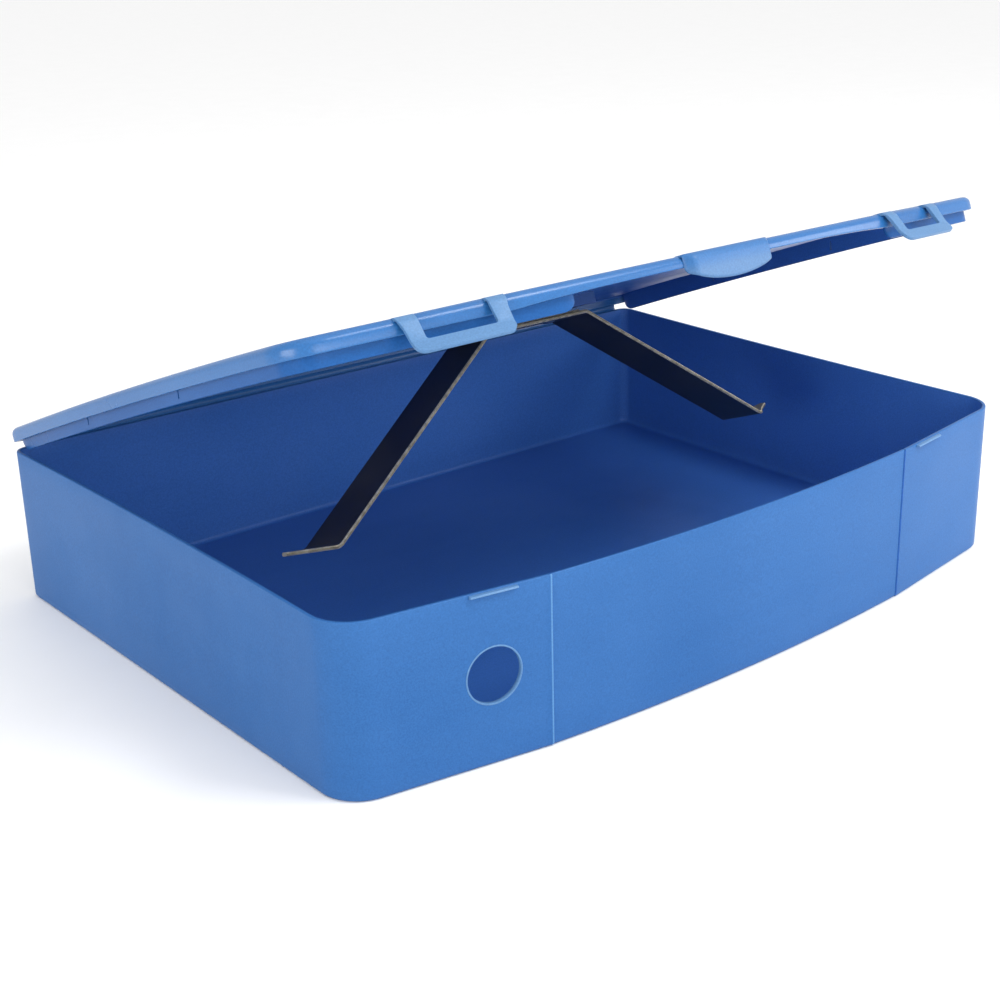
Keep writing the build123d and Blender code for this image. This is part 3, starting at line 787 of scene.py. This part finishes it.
# profile across the strap: flat on the lid's top edge, over the flexure, then curved outward and down
strap_at, strap_acc = bend_path([(4.2, 8.1), (-0.95, 8.12), (-5.3, -0.8), (-8.7, -4.6)], [2.6, 8.0])
strap_len = strap_acc[-1]
ROOT = 4.6
low = strap_len - 5.1
outer = rounded([(-h - 1.7, 0.0), (h + 1.7, 0.0), (h + 1.5, ROOT + 0.6), (h + 0.5, ROOT + 4.6), (h - 0.3, strap_len), (-h + 0.3, strap_len), (-h - 0.5, ROOT + 4.6), (-h - 1.5, ROOT + 0.6)],
                [0.0, 0.0, 3.0, 3.0, 3.4, 3.4, 3.0, 3.0])
win = rounded([(-13.4, 1.3), (-13.5, low), (13.5, low), (13.4, 1.3)], [0.8, 1.2, 1.2, 0.8])
for side, place, along, node, body in (("left", on_left, LATCH_S, "left_latch_loop", "left_latch"), ("right", on_right, LATCH_S_RIGHT, "right_latch_loop", "right_latch")):
    bm = bmesh.new()
    edges = []
    for loop in (outer, win):
        vs = [bm.verts.new((x, 0.0, d)) for x, d in loop]
        for i in range(len(vs)):
            edges.append(bm.edges.new((vs[i], vs[(i + 1) % len(vs)])))
    bmesh.ops.triangle_fill(bm, use_beauty=True, use_dissolve=False, edges=edges)
    for k in range(1, 44):
        d = strap_len * k / 44
        bmesh.ops.bisect_plane(bm, geom=list(bm.verts) + list(bm.edges) + list(bm.faces), plane_co=(0, 0, d), plane_no=(0, 0, 1), dist=1e-5)
    ext = bmesh.ops.extrude_face_region(bm, geom=list(bm.faces))
    bmesh.ops.translate(bm, verts=[g for g in ext["geom"] if isinstance(g, bmesh.types.BMVert)], vec=(0, LATCH_T, 0))
    bmesh.ops.translate(bm, verts=list(bm.verts), vec=(0, -LATCH_T / 2, 0))
    bmesh.ops.recalc_face_normals(bm, faces=bm.faces)
    sharp = [e for e in bm.edges if len(e.link_faces) == 2 and e.calc_face_angle(0) > math.radians(60)]
    bmesh.ops.bevel(bm, geom=sharp, offset=0.3, segments=2, profile=0.6, affect="EDGES", clamp_overlap=True)
    for v in bm.verts:
        c, tdir = strap_at(v.co.z)
        # the straps are thinned over the flexure line
        thin = 1.0 - 0.45 * math.exp(-((v.co.z - ROOT - 0.6) / 0.9) ** 2)
        nn = Vector((tdir.y, -tdir.x))
        off = v.co.y * thin
        v.co = Vector((v.co.x, c.x + nn.x * off, c.y + nn.y * off))
    m = SWING @ place(along, TRAY_H)
    ob = finish_mesh(f"{side}_latch_strap", bm, m, smooth=45, mat=M_LATCH)
    a = (SCALE @ m) @ Vector((0, -0.45, 8.1)); b = (SCALE @ m) @ Vector((0, -2.0, 6.9))
    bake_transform(ob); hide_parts(node)

# ---- living hinge web ------------------------------------------------------------------------------------------
bm = bmesh.new()
x0, x1 = -HX + R_BACK + 2, HX - R_BACK - 2
start = Vector((0, YB - 0.45, TRAY_H - 0.15))
endp = SWING @ Vector((0, YB - HINGE_GAP - 0.35, TRAY_H + LIP_LOW + 0.15))
NW = 10
rows = []
for j in range(NW + 1):
    t = j / NW
    y = start.y + (endp.y - start.y) * t + 0.25 * math.sin(math.pi * t)
    z = start.z + (endp.z - start.z) * t
    rows.append((y, z))
NXW = 90
vt = []
for j, (y, z) in enumerate(rows):
    vt.append([(bm.verts.new((x0 + (x1 - x0) * i / NXW, y + 0.3, z)), bm.verts.new((x0 + (x1 - x0) * i / NXW, y - 0.3, z))) for i in range(NXW + 1)])
for j in range(NW):
    for i in range(NXW):
        a, b, c, d = vt[j][i], vt[j][i + 1], vt[j + 1][i + 1], vt[j + 1][i]
        bm.faces.new((a[0], b[0], c[0], d[0])); bm.faces.new((a[1], d[1], c[1], b[1]))
for i in range(NXW):
    bm.faces.new((vt[0][i][0], vt[0][i][1], vt[0][i + 1][1], vt[0][i + 1][0]))
    bm.faces.new((vt[NW][i][0], vt[NW][i + 1][0], vt[NW][i + 1][1], vt[NW][i][1]))
for j in range(NW):
    bm.faces.new((vt[j][0][0], vt[j + 1][0][0], vt[j + 1][0][1], vt[j][0][1]))
    bm.faces.new((vt[j][NXW][0], vt[j][NXW][1], vt[j + 1][NXW][1], vt[j + 1][NXW][0]))
web = finish_mesh("living_hinge", bm, smooth=50, mat=M_LID)
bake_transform(web)
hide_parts("hinge_web")


# ---- spring arch ---------------------------------------------------------------------------------------------------
def strip_mesh(name, path, w0, mat_m, width_fn=None, t=STRIP_T):
    """A flat strip following a path (x, z), its edges slit and slightly rounded; slot 1 is the edge."""
    bm = bmesh.new()
    cols = []
    m = len(path)
    for i, (x, z) in enumerate(path):
        a = Vector(path[max(0, i - 1)]); b = Vector(path[min(m - 1, i + 1)])
        d = (b - a).normalized(); nn = Vector((-d.y, d.x))
        w = width_fn(x) if width_fn else w0
        hw, ht = w / 2, t / 2
        r = 0.5
        cs = [(-hw + r, ht), (hw - r, ht), (hw, ht - r), (hw, -ht + r), (hw - r, -ht), (-hw + r, -ht), (-hw, -ht + r), (-hw, ht - r)]
        cols.append([bm.verts.new((x + nn.x * o, y, z + nn.y * o)) for y, o in cs])
    K = 8
    for a, b in zip(cols, cols[1:]):
        for k in range(K):
            f = bm.faces.new((a[k], a[(k + 1) % K], b[(k + 1) % K], b[k]))
            f.material_index = 0 if k in (0, 4) else (2 if k in (2, 6) else 1)
    f = bm.faces.new(cols[0]); f.material_index = 1
    f = bm.faces.new(list(reversed(cols[-1]))); f.material_index = 1
    return finish_mesh(name, bm, mat_m, smooth=35, mat=[M_STEEL, M_EDGE, M_CORE])


def curve_path(points, radii, n=9, step=3.0):
    """Polyline with filleted corners."""
    out = [Vector(points[0])]
    for i in range(1, len(points) - 1):
        f = fillet(points[i - 1], points[i], points[i + 1], radii[i - 1], n)
        out += straight(out[-1], f[0], step) + f
    out += straight(out[-1], Vector(points[-1]), step) + [Vector(points[-1])]
    return [(p.x, p.y) for p in out]


lu = Vector((FOOT_HALF - BAR_HALF, FOOT_Z - BAR_Z)).normalized()
OVER = 5.0
# bar between the two corner bends
bar_path = [(-BAR_HALF + OVER + (2 * BAR_HALF - 2 * OVER) * i / 16, BAR_Z) for i in range(17)]
bar = strip_mesh("arch_bar", bar_path, STRIP_W, ARCH_AT)
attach(bar, "lid"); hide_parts("spring_bar")


def toe_width(x):
    """The foot narrows to a blunt toe beyond its bend."""
    t = (abs(x) - FOOT_HALF - 1.0) / (TIP_OUT - 1.0)
    return STRIP_W if t <= 0 else STRIP_W - (STRIP_W - 3.2) * t ** 0.82


pts = [(BAR_HALF - OVER, BAR_Z), (BAR_HALF, BAR_Z), (FOOT_HALF, FOOT_Z), (FOOT_HALF + TIP_OUT, FOOT_Z + TIP_UP)]
leg_path = curve_path(pts, [5.0, 4.5], n=11, step=2.5)
for side, sgn, node, body in (("right", 1, "spring_right_leg", "right_leg"), ("left", -1, "spring_left_leg", "left_leg")):
    path = [(sgn * x, z) for x, z in leg_path]
    ob = strip_mesh(f"arch_{side}_leg", path, STRIP_W, ARCH_AT, width_fn=toe_width)
    e = (SCALE @ ARCH_AT) @ Vector((sgn * (BAR_HALF + lu.x * 3.6), 0, BAR_Z + lu.y * 3.6))
    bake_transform(ob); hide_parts(node)

# second leaf, a little proud of the bar
st = strip_mesh("arch_second_leaf", [(-25 + 50 * i / 12, BAR_Z + 0.95 + 0.25 * math.sin(math.pi * i / 12)) for i in range(13)], STRIP_W - 2, ARCH_AT, t=0.9)
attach(st, "lid"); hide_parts("spring_stiffener")

# rivets with domed heads
for i, rx in enumerate((-16.0, 16.0)):
    bm = bmesh.new()
    prof = [(0.0, -2.35), (1.2, -2.28), (2.2, -2.0), (2.9, -1.6), (3.2, -1.25), (3.2, -1.18), (1.58, -1.18), (1.58, 4.2), (2.7, 4.2), (2.7, 4.6), (2.2, 5.0), (0.0, 5.05)]
    seg = 40
    rows = [[bm.verts.new((rx + r * math.cos(2 * math.pi * j / seg), r * math.sin(2 * math.pi * j / seg), z)) for j in range(seg)] if r > 0 else
            [bm.verts.new((rx, 0, z))] for r, z in prof]
    for a, b in zip(rows, rows[1:]):
        for j in range(seg):
            q = [a[j % len(a)], a[(j + 1) % len(a)], b[(j + 1) % len(b)], b[j % len(b)]]
            u = []
            for v in q:
                if v not in u:
                    u.append(v)
            if len(u) >= 3:
                bm.faces.new(u)
    ob = finish_mesh(f"arch_rivet_{i + 1}", bm, ARCH_AT, smooth=40, mat=M_RIVET)
    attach(ob, "lid")
    if i == 0:
        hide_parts("spring_rivets")

# CAD pieces that keep their own shape
for name, mat in (("spring_seat", M_SEAT), ("spring_mount_plate", M_STEEL)):
    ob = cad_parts[name]
    ob.data.materials.clear()
    ob.data.materials.append(mat)

# ---- floor, light ------------------------------------------------------------------------------------------------------
bm = bmesh.new()
S = 6.0
vs = [bm.verts.new(v) for v in ((-S, -S, 0), (S, -S, 0), (S, S, 0), (-S, S, 0))]
bm.faces.new(vs)
me = bpy.data.meshes.new("studio_floor")
bm.to_mesh(me); bm.free()
floor = bpy.data.objects.new("studio_floor", me)
bpy.context.scene.collection.objects.link(floor)
fm = bpy.data.materials.new("pale_floor")
nt, b = nodes_of(fm)
tc = nt.nodes.new("ShaderNodeTexCoord")
nz = nt.nodes.new("ShaderNodeTexNoise"); nz.inputs["Scale"].default_value = 30.0
nt.links.new(tc.outputs["Object"], nz.inputs["Vector"])
rp = nt.nodes.new("ShaderNodeValToRGB")
rp.color_ramp.elements[0].color = (0.92, 0.92, 0.92, 1); rp.color_ramp.elements[1].color = (0.95, 0.95, 0.95, 1)
nt.links.new(nz.outputs["Fac"], rp.inputs["Fac"]); nt.links.new(rp.outputs["Color"], b.inputs["Base Color"])
b.inputs["Roughness"].default_value = 0.8
me.materials.append(fm)

world = bpy.data.worlds.new("studio")
bpy.context.scene.world = world
world.use_nodes = True
bg = world.node_tree.nodes["Background"]
bg.inputs["Color"].default_value = (1.0, 1.0, 1.0, 1)
bg.inputs["Strength"].default_value = 0.84


def area(name, pos, target, size, power, color=(1, 1, 1)):
    li = bpy.data.lights.new(name, "AREA")
    li.shape = "RECTANGLE"; li.size, li.size_y = size
    li.energy = power; li.color = color
    ob = bpy.data.objects.new(name, li)
    bpy.context.scene.collection.objects.link(ob)
    ob.location = pos
    ob.rotation_euler = (Vector(target) - Vector(pos)).to_track_quat("-Z", "Y").to_euler()
    return ob


area("key", (0.42, -0.72, 1.10), (0.0, -0.05, 0.10), (0.5, 0.45), 7.0)
area("front", (-0.25, -1.7, 0.62), (0.0, 0.1, 0.06), (1.1, 0.5), 7.0)
area("side", (-1.25, -0.25, 0.34), (-0.18, 0.0, 0.06), (0.6, 0.40), 4.2)
area("right", (1.1, -0.9, 0.45), (0.15, -0.1, 0.03), (0.6, 0.5), 4.6)
sun = bpy.data.lights.new("overhead", "SUN")
sun.energy = 0.5
sun.angle = math.radians(70)
so = bpy.data.objects.new("overhead", sun)
so.rotation_euler = (math.radians(12), math.radians(8), 0)
bpy.context.scene.collection.objects.link(so)
bpy.context.scene.view_settings.view_transform = "Standard"

bpy.context.view_layer.update()
